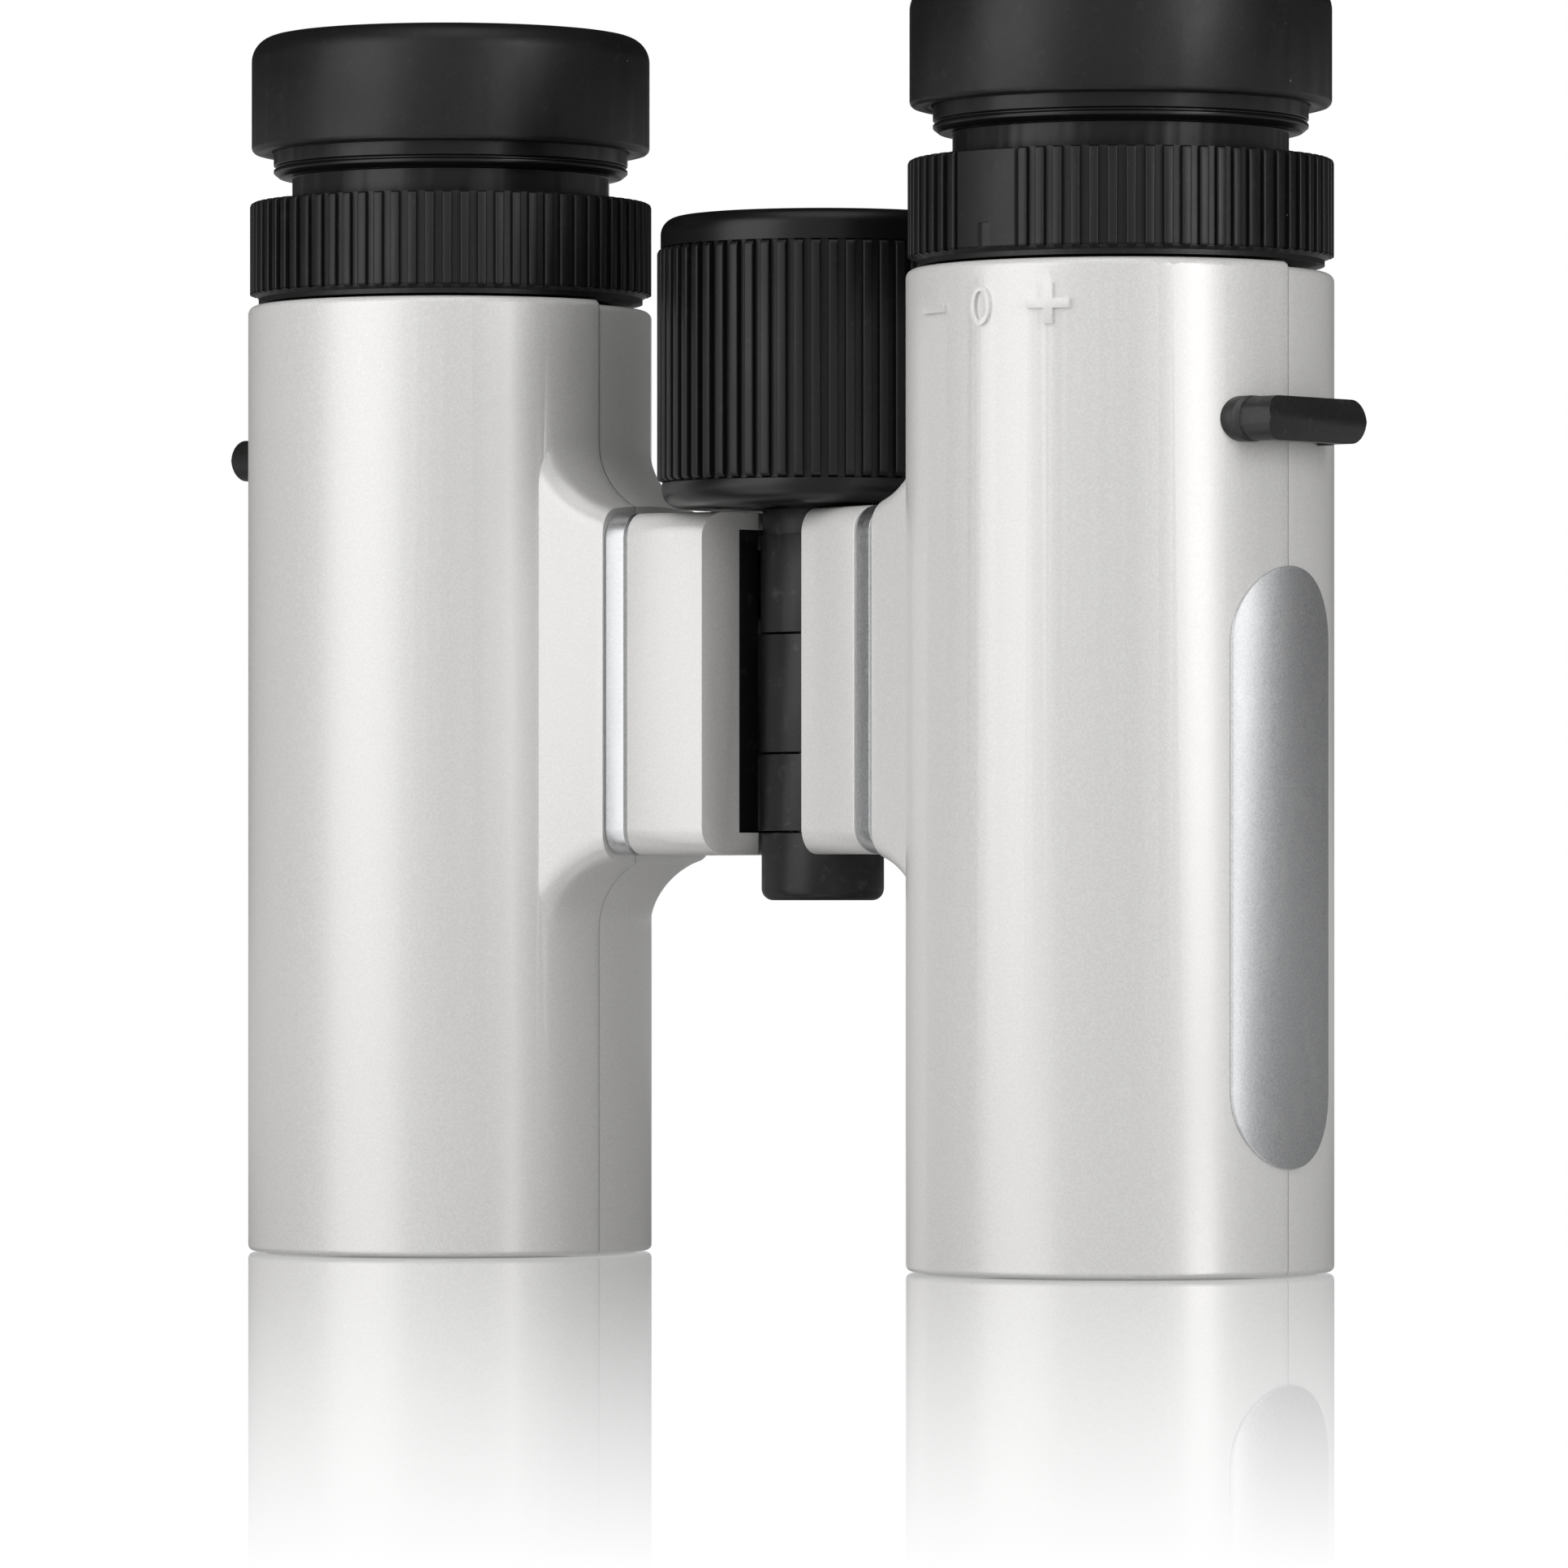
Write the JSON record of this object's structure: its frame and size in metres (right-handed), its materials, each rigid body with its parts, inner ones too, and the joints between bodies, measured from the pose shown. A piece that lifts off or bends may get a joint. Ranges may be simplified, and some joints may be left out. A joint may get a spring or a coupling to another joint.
{
  "type": "binoculars",
  "caption": "Compact folding roof-prism binoculars with white barrels, a central ribbed focus wheel, a diopter ring and twist-up eyecups.",
  "frame": {"origin": "centre of the bounding box's bottom face, on the plane the two objective rims stand on", "axes": "+Z towards the eyepieces, +X towards the user's right barrel, +Y towards the top side and the hinge axis"},
  "size_m": [0.1164, 0.0378, 0.1048],
  "materials": {
    "white_paint": "pearl gloss",
    "silver_trim": "fine satin",
    "black_rubber": "matte",
    "black_plastic": "satin",
    "black_metal": "matte black",
    "steel": "machined",
    "brass": "machined",
    "coated_glass": "anti-reflection coated",
    "clear_glass": "polished"
  },
  "bodies": {
    "left_half": {"left_top_shell": "white_paint", "left_belly_shell": "white_paint", "left_arm_band": "silver_trim", "left_arm_cap": "white_paint", "left_arm_screws": "steel", "left_strap_lug": "black_plastic", "left_badge": "silver_trim", "left_objective_cell": "black_metal", "left_objective_ring": "black_metal", "left_objective_lens": "coated_glass", "left_prism_holder": "black_plastic", "left_prisms": "clear_glass", "left_eyepiece_tube": "black_metal", "left_eye_lens": "coated_glass", "left_eyepiece_bezel": "black_metal", "left_hinge_arm": "black_metal", "left_field_cell": "black_metal", "left_field_lens": "clear_glass", "left_ocular_ring": "black_rubber", "hinge_pin": "steel", "hinge_front_cap": "black_metal", "hinge_bush": "black_metal"},
    "right_half": {"right_top_shell": "white_paint", "right_belly_shell": "white_paint", "right_arm_band": "silver_trim", "right_arm_cap": "white_paint", "right_arm_screws": "steel", "right_strap_lug": "black_plastic", "right_badge": "silver_trim", "right_objective_cell": "black_metal", "right_objective_ring": "black_metal", "right_objective_lens": "coated_glass", "right_prism_holder": "black_plastic", "right_prisms": "clear_glass", "right_eyepiece_tube": "black_metal", "right_eye_lens": "coated_glass", "right_eyepiece_bezel": "black_metal", "right_hinge_arm": "black_metal"},
    "focus_wheel": {"focus_nut": "brass", "focus_wheel_hub": "black_plastic", "focus_wheel_grip": "black_rubber", "focus_wheel_cap": "black_plastic"},
    "focus_rod": {"focus_rod": "steel"},
    "diopter_ring": {"diopter_ring": "black_rubber"},
    "diopter_cell": {"right_field_cell": "black_metal", "right_field_lens": "clear_glass"},
    "left_focus_cell": {"left_focus_link": "black_metal", "left_focus_lens": "clear_glass"},
    "left_eyecup_cam": {"left_cam_ring": "steel"},
    "left_eyecup": {"left_eyecup_carrier": "black_plastic", "left_eyecup_rubber": "black_rubber"},
    "right_focus_cell": {"right_focus_link": "black_metal", "right_focus_lens": "clear_glass"},
    "right_eyecup_cam": {"right_cam_ring": "steel"},
    "right_eyecup": {"right_eyecup_carrier": "black_plastic", "right_eyecup_rubber": "black_rubber"}
  },
  "joints": [
    {"name": "fold", "type": "hinge", "parent": "left_half", "child": "right_half", "pos_m": [0, 0.0049, 0], "axis": [0, 0, -1], "range_deg": [0, 58]},
    {"name": "focus_turn", "type": "hinge", "parent": "left_half", "child": "focus_wheel", "pos_m": [0, 0.0049, 0], "axis": [0, 0, 1], "range_deg": [-200, 200]},
    {"name": "focus_rod_slide", "type": "slide", "parent": "left_half", "child": "focus_rod", "axis": [0, 0, 1], "range_m": [-0.0015, 0.0015]},
    {"name": "diopter_turn", "type": "hinge", "parent": "right_half", "child": "diopter_ring", "pos_m": [0.0376, -0.0011, 0], "axis": [0, 0, 1], "range_deg": [-25, 25]},
    {"name": "diopter_slide", "type": "slide", "parent": "right_half", "child": "diopter_cell", "axis": [0, 0, 1], "range_m": [-0.0008, 0.0008]},
    {"name": "left_focus_slide", "type": "slide", "parent": "left_half", "child": "left_focus_cell", "axis": [0, 0, 1], "range_m": [-0.0015, 0.0015]},
    {"name": "left_eyecup_turn", "type": "hinge", "parent": "left_half", "child": "left_eyecup_cam", "pos_m": [-0.0376, -0.0011, 0], "axis": [0, 0, 1], "range_deg": [-45, 112.5]},
    {"name": "left_eyecup_slide", "type": "slide", "parent": "left_eyecup_cam", "child": "left_eyecup", "axis": [0, 0, 1], "range_m": [-0.002, 0.005]},
    {"name": "right_focus_slide", "type": "slide", "parent": "right_half", "child": "right_focus_cell", "axis": [0, 0, 1], "range_m": [-0.0015, 0.0015]},
    {"name": "right_eyecup_turn", "type": "hinge", "parent": "right_half", "child": "right_eyecup_cam", "pos_m": [0.0376, -0.0011, 0], "axis": [0, 0, 1], "range_deg": [-45, 112.5]},
    {"name": "right_eyecup_slide", "type": "slide", "parent": "right_eyecup_cam", "child": "right_eyecup", "axis": [0, 0, 1], "range_m": [-0.002, 0.005]}
  ],
  "couplings": [
    {"joint": "focus_rod_slide", "follows": "focus_turn", "m_per_rad": 0.0004297},
    {"joint": "diopter_slide", "follows": "diopter_turn", "m_per_rad": 0.00183},
    {"joint": "left_focus_slide", "follows": "focus_turn", "m_per_rad": 0.0004297},
    {"joint": "left_eyecup_slide", "follows": "left_eyecup_turn", "m_per_rad": 0.002546},
    {"joint": "right_focus_slide", "follows": "focus_turn", "m_per_rad": 0.0004297},
    {"joint": "right_eyecup_slide", "follows": "right_eyecup_turn", "m_per_rad": 0.002546}
  ]
}
